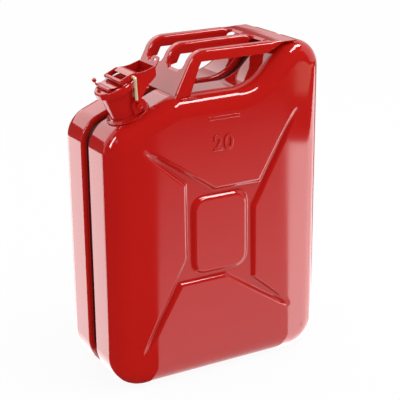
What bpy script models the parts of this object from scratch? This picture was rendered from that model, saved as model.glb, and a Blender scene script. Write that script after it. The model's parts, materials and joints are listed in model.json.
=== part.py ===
"""Twenty litre pressed steel fuel can with three carrying bars and a lever closure.

Metres, +Z up. X runs along the can with the filler neck at -X, the seam lies in the plane Y = 0,
and the can stands on Z = 0.
"""
import math

import bmesh
import bpy
from mathutils import Matrix, Vector

MM = 0.001
GAP = 0.3 * MM                    # clearance between pieces that touch

# Body
WIDTH = 335 * MM
DEPTH = 155 * MM
BODY_HEIGHT = 467 * MM            # to the top of the hump at the right
RECESS_DEPTH = 55 * MM            # the hand recess under the bars
FLOOR_HEIGHT = BODY_HEIGHT - RECESS_DEPTH
SHEET = 1.0 * MM
EDGE_RADIUS = 25.5 * MM           # where the sides turn into the pressed faces
BOTTOM_LEFT_RADIUS = 50 * MM
BOTTOM_RIGHT_RADIUS = 45 * MM
HUMP_RIGHT_RADIUS = 38 * MM
HUMP_LEFT_RADIUS = 30 * MM
HUMP_LENGTH = 55.5 * MM
HUMP_LEFT_X = WIDTH / 2 - HUMP_LENGTH
RECESS_RISE = 58 * MM             # how far along X the recess rises to the hump
RECESS_RIGHT_X = HUMP_LEFT_X - RECESS_RISE
RECESS_RADIUS = 58 * MM
SHOULDER_LENGTH = 101.5 * MM
SHOULDER_TOP_X = SHOULDER_LENGTH - WIDTH / 2
SHOULDER_TOP_RADIUS = 30 * MM
SHOULDER_ANGLE = math.radians(22.5)
SHOULDER_LEFT_RADIUS = 40 * MM
CORNER_STEPS = 7

# Seam groove round the can
GROOVE_DEPTH = 8 * MM
GROOVE_HALF = 8.5 * MM
GROOVE_DRAFT = 1.2 * MM
LIP_RADIUS = 2 * MM
WELD_HALF = 2.4 * MM
WELD_HEIGHT = 1.8 * MM

# Pressed cross on the two big faces
PRESS_Z = BODY_HEIGHT * 0.454
PRESS_DEPTH = 4.9 * MM
PRESS_RUN = 6.75 * MM
ISLAND_X = WIDTH * 0.1164
ISLAND_Z = BODY_HEIGHT * 0.1103
ISLAND_RADIUS = 15 * MM
ARM_TIP_HALF = 4.5 * MM

# Carrying bars, pressed from one sheet
HANDLE_SHEET = 1.5 * MM
BAR_RISE = 3 * MM                 # the bars stand a little over the hump
HANDLE_TOP = BODY_HEIGHT + BAR_RISE
BAR_WIDTH = 17 * MM
BAR_DEPTH = 15 * MM
BAR_ROUND = 5 * MM
BAR_FROM_FACE = 11 * MM
HANDLE_HALF = DEPTH / 2 - BAR_FROM_FACE
LEG_FROM_SHOULDER = 4.5 * MM
LEG_FOOT_X = SHOULDER_TOP_X + LEG_FROM_SHOULDER
LEG_ANGLE = math.radians(63)
LEG_FLANGE = 20.5 * MM            # at the foot, it narrows to the bar's depth
LEG_REACH = 7 * MM                # along the leg below the recess floor, cut to the can's edge
LEG_PLATE = 34 * MM               # along the leg, from its foot to the ends of the slots
HANDLE_BEND = 28 * MM
SLOT_ROUND = 8 * MM
SLOT_LIP = 3 * MM
SLOT_FROM_HUMP = 24 * MM
PLATE_LENGTH = 16 * MM
PLATE_END_X = HUMP_LEFT_X + PLATE_LENGTH

# Filler neck: its axis stands square on the sloping shoulder, in the front half of the can
NECK_FROM_SIDE = 49 * MM
NECK_X = NECK_FROM_SIDE - WIDTH / 2
NECK_Y = -0.2258 * DEPTH
NECK_RADIUS = 24 * MM
NECK_WALL = 1.4 * MM
NECK_LENGTH = 42.5 * MM
NECK_BEAD = 1.4 * MM
NECK_BEAD_HEIGHT = 3.5 * MM
NECK_INSIDE = 4 * MM
COLLAR_RADIUS = NECK_RADIUS + 5 * MM
COLLAR_HEIGHT = 5 * MM
NECK_SIDES = 40

# Cap and its rubber ring
CAP_RADIUS = NECK_RADIUS + 5.5 * MM
CAP_SHEET = 1.2 * MM
CAP_SKIRT = 9 * MM
GASKET_HEIGHT = 3.2 * MM
GASKET_BORE = NECK_RADIUS - 5 * MM

# Hinge of the cap, on the handle side of the neck
HINGE_U = CAP_RADIUS + 6 * MM     # from the neck's axis, towards the bars
HINGE_H = 33.5 * MM               # above the shoulder
HINGE_PIN_RADIUS = 1.6 * MM
KNUCKLE_RADIUS = 3.6 * MM
KNUCKLE_HALF = 9 * MM
BRACKET_SHEET = 2.2 * MM
STRAP_SHEET = 1.0 * MM
STRAP_HALF = CAP_RADIUS - 9.5 * MM
STRAP_LEFT_U = 11 * MM - CAP_RADIUS
STRAP_PIN_RADIUS = 0.9 * MM
KNOB_RADIUS = 3.1 * MM
KNOB_RISE = 6 * MM

# Lever
LEVER_SHEET = 1.4 * MM
LEVER_PIVOT_U = 1.5 * MM          # from the neck's axis
LEVER_PIVOT_LIFT = 3.4 * MM       # above the strap
LEVER_HALF = CAP_RADIUS - 7 * MM  # middle of the side walls
LEVER_LENGTH = 51.3 * MM          # pivot to the top of the end wall
LEVER_PIN_RADIUS = 1.6 * MM
BRIDGE_SHEET = 0.8 * MM
BRIDGE_FLANGE = 4.5 * MM
TAB_LENGTH = 19 * MM
TAB_HALF = 9.5 * MM
TAB_BEND = 1.6 * MM
TAB_WINDOW = 4.5 * MM

# Latch lugs on both sides of the neck, which the lever's legs hook under
LUG_U = 9 * MM
LUG_H = 15 * MM
LUG_RADIUS = 9.5 * MM
LUG_HALF = NECK_RADIUS + 5 * MM   # outer faces
LUG_PIN_RADIUS = 3 * MM
HOOK_GAP = 1.3 * MM
HOOK_WIDTH = 5.7 * MM
HOOK_FROM = math.radians(95)
HOOK_TO = math.radians(-70)

# Locking pin
WIRE_RADIUS = 1.5 * MM
LOCK_U = 18.2 * MM
LOCK_HOLE = 2.1 * MM
LOCK_RIM = 0.9 * MM               # sheet left under the hole
LOCK_ARM = 28.5 * MM
LOCK_OUT = 7.5 * MM               # from the near wall to the wire's bend
LOCK_LEAN = 3.5 * MM
LOCK_BEND = 3.6 * MM
LOCK_PAST = 2 * MM                # the wire's end beyond the far wall

# Breather tube inside the can
BREATHER_RADIUS = 5 * MM
BREATHER_BORE = 3.8 * MM
CLIP_LENGTH = 14 * MM

RED = (0.56, 0.012, 0.014, 1)
DARK_RED = (0.40, 0.010, 0.012, 1)
RUBBER = (0.015, 0.015, 0.016, 1)
ZINC = (0.72, 0.66, 0.45, 1)
STEEL = (0.55, 0.55, 0.55, 1)


# Scene and small tools

def clear_scene():
    for thing in list(bpy.data.objects):
        bpy.data.objects.remove(thing, do_unlink=True)


def material(name, colour, roughness, metallic):
    made = bpy.data.materials.get(name) or bpy.data.materials.new(name)
    made.use_nodes = True
    shader = made.node_tree.nodes["Principled BSDF"]
    shader.inputs["Base Color"].default_value = colour
    shader.inputs["Roughness"].default_value = roughness
    shader.inputs["Metallic"].default_value = metallic
    made.diffuse_color = colour
    return made


def enamel():
    return material("red_enamel", RED, 0.12, 0.0)


def link(name, bm, made, smooth=True):
    """Close a bmesh into an object with its faces pointing out."""
    bmesh.ops.remove_doubles(bm, verts=bm.verts, dist=1e-7)
    bmesh.ops.recalc_face_normals(bm, faces=bm.faces)
    mesh = bpy.data.meshes.new(name)
    bm.to_mesh(mesh)
    bm.free()
    mesh.materials.append(made)
    if smooth:
        mesh.shade_smooth()
        mesh.set_sharp_from_angle(angle=math.radians(35))
    thing = bpy.data.objects.new(name, mesh)
    bpy.context.scene.collection.objects.link(thing)
    return thing


def empty(name, location, parent=None, tilt=0.0):
    thing = bpy.data.objects.new(name, None)
    thing.location = location
    thing.rotation_euler = (0, tilt, 0)
    thing.parent = parent
    bpy.context.scene.collection.objects.link(thing)
    return thing


def hang(thing, pivot):
    """Parent a piece whose mesh is in the neck's frame to an empty of that frame."""
    thing.parent = pivot
    if pivot.name != "neck_frame":
        thing.location = -pivot_place[pivot.name]
    return thing


def cutter(name, bm):
    made = link(name, bm, enamel(), smooth=False)
    made.hide_render = True
    made.display_type = "WIRE"
    return made


def cut(thing, tool):
    change = thing.modifiers.new("cut_" + tool.name, "BOOLEAN")
    change.object = tool
    change.operation = "DIFFERENCE"
    change.solver = "EXACT"


def thicken(thing, thickness, offset):
    change = thing.modifiers.new("sheet", "SOLIDIFY")
    change.thickness = thickness
    change.offset = offset
    change.use_even_offset = True


def arc(centre, radius, start, end, steps):
    return [(centre[0] + radius * math.cos(start + (end - start) * i / steps),
             centre[1] + radius * math.sin(start + (end - start) * i / steps)) for i in range(steps + 1)]


def turned(name, profile, made, steps=NECK_SIDES, axis_u=0.0, y=0.0):
    """Spin a profile of (radius, height) about a line along Z; it is closed unless it ends on the axis."""
    bm = bmesh.new()
    verts = [bm.verts.new((axis_u + r, y, h)) for r, h in profile]
    on_axis = profile[0][0] == 0 and profile[-1][0] == 0
    count = len(verts) - 1 if on_axis else len(verts)
    edges = [bm.edges.new((verts[i], verts[(i + 1) % len(verts)])) for i in range(count)]
    bmesh.ops.spin(bm, geom=verts + edges, cent=(axis_u, y, 0), axis=(0, 0, 1), dvec=(0, 0, 0),
                   angle=2 * math.pi, steps=steps, use_merge=True)
    bmesh.ops.remove_doubles(bm, verts=bm.verts, dist=1e-7)
    bmesh.ops.dissolve_degenerate(bm, edges=bm.edges, dist=1e-7)
    return link(name, bm, made)


def rod(bm, u, h, radius, y_from, y_to, sides=20):
    """A plain round bar along Y."""
    place = Matrix.Translation((u, (y_from + y_to) / 2, h)) @ Matrix.Rotation(math.pi / 2, 4, "X")
    bmesh.ops.create_cone(bm, cap_ends=True, segments=sides, radius1=radius, radius2=radius,
                          depth=abs(y_to - y_from), matrix=place)


def stepped_rod(name, made, u, h, stations, sides=20):
    """A round bar along Y whose radius changes at the given (y, radius) stations."""
    bm = bmesh.new()
    profile = [(0, stations[0][0])] + [(r, y) for y, r in stations] + [(0, stations[-1][0])]
    verts = [bm.verts.new((u + r, y, h)) for r, y in profile]
    edges = [bm.edges.new((verts[i], verts[i + 1])) for i in range(len(verts) - 1)]
    bmesh.ops.spin(bm, geom=verts + edges, cent=(u, 0, h), axis=(0, 1, 0), dvec=(0, 0, 0),
                   angle=2 * math.pi, steps=sides, use_merge=True)
    bmesh.ops.remove_doubles(bm, verts=bm.verts, dist=1e-7)
    bmesh.ops.dissolve_degenerate(bm, edges=bm.edges, dist=1e-7)
    return link(name, bm, made)


def prism(bm, outline, y_from, y_to):
    """Extrude a closed outline of (u, h) along Y."""
    verts = [bm.verts.new((u, y_from, h)) for u, h in outline]
    face = bm.faces.new(verts)
    grown = bmesh.ops.extrude_face_region(bm, geom=[face])
    moved = [v for v in grown["geom"] if isinstance(v, bmesh.types.BMVert)]
    bmesh.ops.translate(bm, verts=moved, vec=(0, y_to - y_from, 0))


def pipe(name, points, radius, bore, made, sides=14):
    """A tube along a route of points, with a bore or solid; the radius may be a list, one for each point."""
    bm = bmesh.new()
    count = len(points)
    sizes = {"outer": radius if isinstance(radius, list) else [radius] * count}
    if bore:
        sizes["inner"] = [bore] * count
    rings = {kind: [] for kind in sizes}
    first = (Vector(points[1]) - Vector(points[0])).normalized()
    side = Vector((1, 0, 0)) if abs(first.y) > 0.7 else Vector((0, 1, 0))
    for i, point in enumerate(points):
        ahead = Vector(points[min(i + 1, count - 1)]) - Vector(points[max(i - 1, 0)])
        ahead.normalize()
        side = (side - ahead * side.dot(ahead)).normalized()
        other = ahead.cross(side)
        for kind, made_rings in rings.items():
            size = sizes[kind][i]
            ring = []
            for k in range(sides):
                turn = 2 * math.pi * k / sides
                out = side * math.cos(turn) + other * math.sin(turn)
                ring.append(bm.verts.new(Vector(point) + out * size))
            made_rings.append(ring)
    for made_rings in rings.values():
        for a, b in zip(made_rings, made_rings[1:]):
            for k in range(sides):
                n = (k + 1) % sides
                bm.faces.new((a[k], a[n], b[n], b[k]))
    for end in (0, -1):
        outer = rings["outer"][end]
        if bore:
            inner = rings["inner"][end]
            for k in range(sides):
                n = (k + 1) % sides
                bm.faces.new((outer[k], outer[n], inner[n], inner[k]))
        else:
            bm.faces.new(outer)
    return link(name, bm, made)


def bent(corners, radius, steps):
    """A route through corner points, each corner rounded."""
    route = [Vector(corners[0])]
    for before, corner, after in zip(corners, corners[1:], corners[2:]):
        corner = Vector(corner)
        back = (Vector(before) - corner).normalized()
        ahead = (Vector(after) - corner).normalized()
        half = back.angle(ahead) / 2
        reach = radius / math.tan(half)
        centre = corner + (back + ahead).normalized() * (radius / math.sin(half))
        start = corner + back * reach - centre
        end = corner + ahead * reach - centre
        for i in range(steps + 1):
            route.append(centre + start.slerp(end, i / steps).normalized() * start.length)
    route.append(Vector(corners[-1]))
    return [tuple(p) for p in route]


# Outline of the can, seen from the front

def shoulder_z(x):
    """Height of the sloping shoulder at x."""
    return FLOOR_HEIGHT + (x - SHOULDER_TOP_X) * math.tan(SHOULDER_ANGLE)


def body_outline():
    """Points of the outline with their outward normals, counter-clockwise."""
    left = -WIDTH / 2
    right = WIDTH / 2
    corners = [((left, 0), BOTTOM_LEFT_RADIUS, CORNER_STEPS), ((right, 0), BOTTOM_RIGHT_RADIUS, CORNER_STEPS),
               ((right, BODY_HEIGHT), HUMP_RIGHT_RADIUS, CORNER_STEPS),
               ((HUMP_LEFT_X, BODY_HEIGHT), HUMP_LEFT_RADIUS, 4),
               ((RECESS_RIGHT_X, FLOOR_HEIGHT), RECESS_RADIUS, 6),
               ((SHOULDER_TOP_X, FLOOR_HEIGHT), SHOULDER_TOP_RADIUS, 3),
               ((left, shoulder_z(left)), SHOULDER_LEFT_RADIUS, 6)]
    points = []
    count = len(corners)
    for i, (corner, radius, steps) in enumerate(corners):
        corner = Vector(corner)
        back = (Vector(corners[i - 1][0]) - corner).normalized()
        ahead = (Vector(corners[(i + 1) % count][0]) - corner).normalized()
        half = back.angle(ahead) / 2
        reach = radius / math.tan(half)
        centre = corner + (back + ahead).normalized() * (radius / math.sin(half))
        start = corner + back * reach - centre
        end = corner + ahead * reach - centre
        convex = back.x * ahead.y - back.y * ahead.x < 0
        for k in range(steps + 1):
            spoke = start.slerp(end, k / steps).normalized() * radius
            outward = spoke.normalized() if convex else -spoke.normalized()
            points.append((centre + spoke, outward))
    return points


def ring_at(bm, outline, inset, y):
    return [bm.verts.new((p.x - n.x * inset, y, p.y - n.y * inset)) for p, n in outline]


def bridge(bm, first, second):
    """Quads between two rings of the same count."""
    count = len(first)
    for i in range(count):
        n = (i + 1) % count
        bm.faces.new((first[i], first[n], second[n], second[i]))


def edge_rounding(steps=5):
    """(inset, distance from the seam plane) from the flat side to the big face."""
    rows = []
    for i in range(steps + 1):
        turn = math.pi / 2 * i / steps
        rows.append((EDGE_RADIUS * (1 - math.cos(turn)), DEPTH / 2 - EDGE_RADIUS * (1 - math.sin(turn))))
    return rows


# Pressed cross

def arm(base_a, base_b, tip):
    """One arm of the cross from corner a round its rounded tip to corner b, with each point's fade."""
    a, b, tip = Vector(base_a), Vector(base_b), Vector(tip)
    along = (tip - (a + b) / 2).normalized()
    across = Vector((-along.y, along.x))
    if (a - b).dot(across) < 0:
        across = -across
    near_a = tip + across * ARM_TIP_HALF - along * ARM_TIP_HALF
    near_b = tip - across * ARM_TIP_HALF - along * ARM_TIP_HALF
    points = []
    for share in (0.0, 0.3, 0.6, 0.85):
        points.append((a.lerp(near_a, share), share))
    points.append((near_a, 1.0))
    points.append((tip, 1.0))
    points.append((near_b, 1.0))
    for share in (0.85, 0.6, 0.3, 0.0):
        points.append((b.lerp(near_b, share), share))
    return points


def cross_loop():
    """Outer edge of the pressed cross, counter-clockwise about its middle, in metres."""
    wide, tall = WIDTH / 335, BODY_HEIGHT / 467
    upper_right = arm((57 * wide, 28 * tall), (62 * wide, 69 * tall), (125 * wide, 163.6 * tall))
    upper_left = arm((-8 * wide, 69 * tall), (-58 * wide, 77 * tall), (-118 * wide, 137 * tall))
    half = upper_right + upper_left
    return half + [(-p, fade) for p, fade in half]


def shrink(loop, amount):
    """Move each point of a loop inwards by amount, by the mean of its two edges' normals."""
    count = len(loop)
    moved = []
    for i in range(count):
        before = (loop[i] - loop[i - 1]).normalized()
        after = (loop[(i + 1) % count] - loop[i]).normalized()
        normal = Vector((-before.y - after.y, before.x + after.x))
        normal.normalize()
        square = Vector((-before.y, before.x))
        moved.append(loop[i] + normal * (amount[i] / max(0.5, normal.dot(square))))
    return moved


def island_loop(grow, steps=4):
    half_x = ISLAND_X + grow
    half_z = ISLAND_Z + grow
    radius = ISLAND_RADIUS + grow * 0.5
    points = []
    for turn, (sx, sz) in enumerate([(1, 1), (-1, 1), (-1, -1), (1, -1)]):
        centre = (sx * (half_x - radius), sz * (half_z - radius))
        points += arc(centre, radius, turn * math.pi / 2, (turn + 1) * math.pi / 2, steps)
    return [Vector(p) for p in points]


def loop_verts(bm, loop, face_y, depths):
    return [bm.verts.new((p.x, face_y + depth, p.y + PRESS_Z)) for p, depth in zip(loop, depths)]


def fill_between(bm, loops):
    """Fill the flat area between closed loops of verts."""
    edges = []
    for loop in loops:
        for i in range(len(loop)):
            pair = (loop[i], loop[(i + 1) % len(loop)])
            edges.append(bm.edges.get(pair) or bm.edges.new(pair))
    bmesh.ops.triangle_fill(bm, use_beauty=True, use_dissolve=False, edges=edges, normal=(0, -1, 0))


def shell_sheet(bm):
    """Outer skin of the front half, open at the seam."""
    outline = body_outline()
    rows = [(GROOVE_DEPTH, GAP / 2), (GROOVE_DEPTH, GROOVE_HALF - GROOVE_DRAFT),
            (GROOVE_DEPTH - GROOVE_DRAFT, GROOVE_HALF), (LIP_RADIUS, GROOVE_HALF + GROOVE_DRAFT),
            (LIP_RADIUS * 0.3, GROOVE_HALF + GROOVE_DRAFT + LIP_RADIUS * 0.3),
            (0, GROOVE_HALF + GROOVE_DRAFT + LIP_RADIUS)] + edge_rounding()
    rings = [ring_at(bm, outline, inset, -y) for inset, y in rows]
    for first, second in zip(rings, rings[1:]):
        bridge(bm, first, second)
    face_y = -DEPTH / 2
    cross = cross_loop()
    outer = [p for p, fade in cross]
    fades = [fade for p, fade in cross]
    run = [PRESS_RUN * (1 - 0.72 * fade) for fade in fades]
    depths = [PRESS_DEPTH * (1 - fade ** 3 * 0.8) for fade in fades]
    inner = shrink(outer, run)
    top = loop_verts(bm, outer, face_y, [0] * len(outer))
    foot = loop_verts(bm, inner, face_y, depths)
    bridge(bm, top, foot)
    island_top = island_loop(0)
    island_foot = island_loop(PRESS_RUN)
    isle = loop_verts(bm, island_top, face_y, [0] * len(island_top))
    isle_foot = loop_verts(bm, island_foot, face_y, [PRESS_DEPTH] * len(island_foot))
    bridge(bm, isle, isle_foot)
    bm.faces.new(isle)
    fill_between(bm, [foot, isle_foot])
    fill_between(bm, [rings[-1], top])


def half_shell(name, mirrored):
    bm = bmesh.new()
    shell_sheet(bm)
    bmesh.ops.remove_doubles(bm, verts=bm.verts, dist=1e-7)
    bmesh.ops.recalc_face_normals(bm, faces=bm.faces)
    island = min(bm.faces, key=lambda f: (f.calc_center_median() - Vector((0, -DEPTH / 2, PRESS_Z))).length)
    if island.normal.y > 0:
        bmesh.ops.reverse_faces(bm, faces=bm.faces)
    if mirrored:
        bmesh.ops.scale(bm, vec=(1, -1, 1), verts=bm.verts)
        bmesh.ops.reverse_faces(bm, faces=bm.faces)
    mesh = bpy.data.meshes.new(name)
    bm.to_mesh(mesh)
    bm.free()
    mesh.materials.append(enamel())
    mesh.shade_smooth()
    mesh.set_sharp_from_angle(angle=math.radians(40))
    thing = bpy.data.objects.new(name, mesh)
    bpy.context.scene.collection.objects.link(thing)
    thicken(thing, SHEET, -1)
    return thing


def body_solid(grow):
    """The can's outer form without its groove, used to fit pieces on the shoulder."""
    bm = bmesh.new()
    outline = body_outline()
    rows = [(inset - grow, y + grow) for inset, y in edge_rounding(8)]
    rings = [ring_at(bm, outline, inset, y) for inset, y in reversed(rows)]
    rings += [ring_at(bm, outline, inset, -y) for inset, y in rows]
    for first, second in zip(rings, rings[1:]):
        bridge(bm, first, second)
    bm.faces.new(rings[0])
    bm.faces.new(rings[-1])
    return bm


def seam_weld():
    bm = bmesh.new()
    outline = body_outline()
    low = GROOVE_DEPTH - GAP
    profile = [(low, -WELD_HALF), (low - WELD_HEIGHT * 0.7, -WELD_HALF * 0.8), (low - WELD_HEIGHT, 0),
               (low - WELD_HEIGHT * 0.7, WELD_HALF * 0.8), (low, WELD_HALF)]
    rings = [ring_at(bm, outline, inset, y) for inset, y in profile]
    for first, second in zip(rings, rings[1:] + rings[:1]):
        bridge(bm, first, second)
    return link("seam_weld", bm, enamel())


# Carrying bars

def leg_flange(share):
    """Depth of the leg's outer flange: 0 at the foot, 1 where the bend begins."""
    return LEG_FLANGE + (BAR_DEPTH - LEG_FLANGE) * min(1.0, max(0.0, share))


def bend_flange(turn):
    """Depth of a flange in the bend, where its two straight edges meet in a corner."""
    nearer = min(turn, LEG_ANGLE - turn)
    return HANDLE_BEND - (HANDLE_BEND - BAR_DEPTH) / math.cos(nearer)


def slot_end():
    """Rows of a slot's rounded end: distance from the end, narrowing of the slot, depth of its lip."""
    rows = [(0.0, SLOT_ROUND, SLOT_LIP)]
    for turn in (45, 90):
        share = 1 - math.cos(math.radians(turn))
        rows.append((SLOT_ROUND * share, SLOT_ROUND * (1 - math.sin(math.radians(turn))),
                     SLOT_LIP + (BAR_DEPTH - SLOT_LIP) * share))
    return rows


def handle_path():
    """Stations of the pressing from foot to right end: place, normal, outer and inner flange, narrowing, kind."""
    steep = Vector((math.cos(LEG_ANGLE), math.sin(LEG_ANGLE)))
    slope_normal = Vector((-steep.y, steep.x))
    foot = Vector((LEG_FOOT_X, FLOOR_HEIGHT + GAP + HANDLE_SHEET * steep.x))
    top_z = HANDLE_TOP
    knee = foot + steep * ((top_z - foot.y) / steep.y)
    reach = HANDLE_BEND * math.tan(LEG_ANGLE / 2)
    centre = knee - steep * reach - slope_normal * HANDLE_BEND
    stations = []
    straight = (knee - foot).length - reach
    for along in (-LEG_REACH, 0.0, LEG_PLATE / 2, LEG_PLATE - 4 * MM):
        place = foot + steep * along
        stations.append((place, slope_normal, leg_flange(along / straight), 0.0, SLOT_ROUND, "plate"))
    for along, narrow, lip in slot_end():
        place = foot + steep * (LEG_PLATE + along)
        outer = leg_flange((LEG_PLATE + along) / straight)
        stations.append((place, slope_normal, outer, lip, narrow, "bars" if along else "end"))
    steps = 8
    for i in range(steps + 1):
        turn = LEG_ANGLE * i / steps
        angle = math.pi / 2 + LEG_ANGLE - turn
        normal = Vector((math.cos(angle), math.sin(angle)))
        depth = bend_flange(turn)
        stations.append((centre + normal * HANDLE_BEND, normal, depth, depth, 0.0, "bars"))
    up = Vector((0, 1))
    plate_z = BODY_HEIGHT + GAP + HANDLE_SHEET
    join = HUMP_LEFT_X - SLOT_FROM_HUMP
    first = centre.x
    for share in (0.33, 0.67):
        stations.append((Vector((first + (join - first) * share, top_z)), up, BAR_DEPTH, BAR_DEPTH, 0.0, "bars"))
    for along, narrow, lip in reversed(slot_end()):
        outer = BAR_DEPTH - (SLOT_ROUND - along) * 0.5
        z = top_z - (top_z - plate_z) * 0.5 * (1 - along / SLOT_ROUND)
        stations.append((Vector((join - along, z)), up, outer, lip, narrow, "bars" if along else "end"))
    stations.append((Vector((join + 4 * MM, (top_z + plate_z) / 2)), up, BAR_DEPTH * 0.6, 0.0, SLOT_ROUND, "plate"))
    stations.append((Vector((HUMP_LEFT_X - 4 * MM, plate_z)), up, 0.0, 0.0, SLOT_ROUND, "plate"))
    stations.append((Vector((PLATE_END_X, plate_z)), up, 0.0, 0.0, SLOT_ROUND, "plate"))
    return stations


def bar_edge(y, inward, flange):
    """(y, drop) from the lower edge of a bar's flange over its rounded edge to the flat."""
    r = BAR_ROUND
    return [(y, flange), (y, min(r, flange)), (y + inward * r * 0.134, min(r * 0.5, flange)),
            (y + inward * r * 0.5, min(r * 0.134, flange)), (y + inward * r, 0.0)]


def handle_columns(outer, inner, narrow):
    """(y, drop) across the pressing at one station, bar by bar."""
    columns = []
    half = BAR_WIDTH / 2
    for bar, middle in enumerate((half - HANDLE_HALF, 0.0, HANDLE_HALF - half)):
        left = middle - half - (narrow if bar > 0 else 0.0)
        right = middle + half + (narrow if bar < 2 else 0.0)
        columns.append(bar_edge(left, 1, outer if bar == 0 else inner) + [(middle, 0.0)]
                       + bar_edge(right, -1, outer if bar == 2 else inner)[::-1])
    return columns


def triple_handle():
    """Three bars, their common leg and their common end plate, pressed from one sheet."""
    bm = bmesh.new()
    rows = []
    for place, normal, outer, inner, narrow, kind in handle_path():
        row = []
        for bar in handle_columns(outer, inner, narrow):
            row.append([bm.verts.new((place.x - normal.x * drop, y, place.y - normal.y * drop)) for y, drop in bar])
        rows.append((row, kind))
    for (row, kind), (following, kind_after) in zip(rows, rows[1:]):
        for bar in range(3):
            for a in range(10):
                bm.faces.new((row[bar][a], row[bar][a + 1], following[bar][a + 1], following[bar][a]))
        if kind != "bars" and kind_after != "bars":
            for bar in range(2):
                bm.faces.new((row[bar][10], row[bar + 1][0], following[bar + 1][0], following[bar][10]))
    bmesh.ops.remove_doubles(bm, verts=bm.verts, dist=1e-6)
    bmesh.ops.dissolve_degenerate(bm, edges=bm.edges, dist=1e-6)
    bmesh.ops.recalc_face_normals(bm, faces=bm.faces)
    top_face = max(bm.faces, key=lambda f: f.calc_center_median().z)
    if top_face.normal.z < 0:
        bmesh.ops.reverse_faces(bm, faces=bm.faces)
    mesh = bpy.data.meshes.new("triple_handle")
    bm.to_mesh(mesh)
    bm.free()
    mesh.materials.append(enamel())
    mesh.shade_smooth()
    mesh.set_sharp_from_angle(angle=math.radians(45))
    thing = bpy.data.objects.new("triple_handle", mesh)
    bpy.context.scene.collection.objects.link(thing)
    thicken(thing, HANDLE_SHEET, -1)
    return thing


# Neck, cap and latch, in the neck's frame: x along the shoulder, z along the neck, y across

def neck(frame):
    outer, inner, top = NECK_RADIUS, NECK_RADIUS - NECK_WALL, NECK_LENGTH
    bead = outer + NECK_BEAD
    low = top - NECK_BEAD_HEIGHT
    profile = [(inner, -NECK_INSIDE), (outer, -NECK_INSIDE), (outer, low - NECK_BEAD), (bead, low),
               (bead, top - NECK_BEAD), (outer + NECK_BEAD * 0.5, top - NECK_BEAD * 0.3), (outer, top),
               (inner, top)]
    return hang(turned("filler_neck", profile, enamel()), frame)


def neck_collar(frame):
    inner = NECK_RADIUS + GAP
    below = -8 * MM
    profile = [(inner, below), (COLLAR_RADIUS, below), (COLLAR_RADIUS, 0.9 * MM), (COLLAR_RADIUS - 1.6 * MM, 1.6 * MM),
               (inner + 1.2 * MM, COLLAR_HEIGHT * 0.6), (inner + 0.6 * MM, COLLAR_HEIGHT), (inner, COLLAR_HEIGHT)]
    return hang(turned("neck_collar", profile, enamel()), frame)


def neck_cutter(name, frame, radius, low, high):
    bm = bmesh.new()
    place = Matrix.Translation((0, 0, (low + high) / 2))
    bmesh.ops.create_cone(bm, cap_ends=True, segments=NECK_SIDES, radius1=radius, radius2=radius,
                          depth=high - low, matrix=place)
    return hang(cutter(name, bm), frame)


def cap_top():
    return NECK_LENGTH + GAP + GASKET_HEIGHT + GAP + CAP_SHEET


def cap(pivot):
    top = cap_top()
    inner = CAP_RADIUS - CAP_SHEET
    under = top - CAP_SHEET
    low = top - CAP_SKIRT
    profile = [(0, top), (CAP_RADIUS - 3 * MM, top), (CAP_RADIUS - 1.2 * MM, top - 0.7 * MM),
               (CAP_RADIUS, top - 2.6 * MM), (CAP_RADIUS, low), (inner, low), (inner, under - 1.6 * MM),
               (inner - 1.6 * MM, under), (0, under)]
    return hang(turned("cap", profile, enamel(), steps=NECK_SIDES), pivot)


def gasket(pivot):
    low = NECK_LENGTH + GAP
    outer = CAP_RADIUS - CAP_SHEET - 2.2 * MM
    profile = [(GASKET_BORE, low), (outer, low), (outer, low + GASKET_HEIGHT), (GASKET_BORE, low + GASKET_HEIGHT)]
    made = material("rubber", RUBBER, 0.7, 0.0)
    return hang(turned("cap_gasket", profile, made, steps=NECK_SIDES), pivot)


def strap_level():
    """Middle of the strap's sheet where it lies on the cap."""
    return cap_top() + GAP + STRAP_SHEET / 2


def strap_roll():
    """Middle of the roll under the strap's left end, and the radius of the roll's sheet."""
    eye = STRAP_PIN_RADIUS + GAP + STRAP_SHEET / 2
    return STRAP_LEFT_U + eye, cap_top() + GAP + STRAP_SHEET / 2 + eye, eye


def strap_path():
    """Middle line of the strap in (u, h), with the half width at each point."""
    level = strap_level()
    u, h, eye = strap_roll()
    points = [(pu, ph, STRAP_HALF) for pu, ph in arc((u, h), eye, math.radians(325), math.radians(70), 8)]
    points += [(-7 * MM, level, STRAP_HALF), (7 * MM, level, STRAP_HALF), (14 * MM, level, KNUCKLE_HALF + 4 * MM)]
    right = CAP_RADIUS + 1.6 * MM
    points += [(CAP_RADIUS - 3 * MM, level, KNUCKLE_HALF), (right - 0.6 * MM, level - 0.9 * MM, KNUCKLE_HALF),
               (right, level - 3 * MM, KNUCKLE_HALF)]
    wrap = HINGE_PIN_RADIUS + GAP + STRAP_SHEET / 2
    points += [(pu, ph, KNUCKLE_HALF) for pu, ph in arc((HINGE_U, HINGE_H), wrap, math.radians(150),
                                                         math.radians(-160), 9)]
    return points


def strap(pivot):
    return sheet_piece("cap_strap", strap_path(), STRAP_SHEET, pivot)


def strap_pin(pivot):
    """Wire through the roll, its far end turned up to a knob."""
    u, h, eye = strap_roll()
    end = STRAP_HALF + 0.8 * MM
    turn = end + STRAP_PIN_RADIUS + 0.6 * MM
    top = h + KNOB_RISE
    route = bent([(u, -end, h), (u, turn, h), (u, turn, top - KNOB_RADIUS)], 1.6 * MM, 4)
    sizes = [STRAP_PIN_RADIUS] * len(route)
    for share in (-0.9, -0.6, -0.2, 0.2, 0.6, 0.9):
        route.append((u, turn, top + KNOB_RADIUS * share))
        sizes.append(KNOB_RADIUS * math.sqrt(1 - share * share))
    return hang(pipe("strap_knob_pin", route, sizes, None, enamel(), 12), pivot)


def pivot_h():
    return strap_level() + STRAP_SHEET / 2 + LEVER_PIVOT_LIFT


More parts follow.
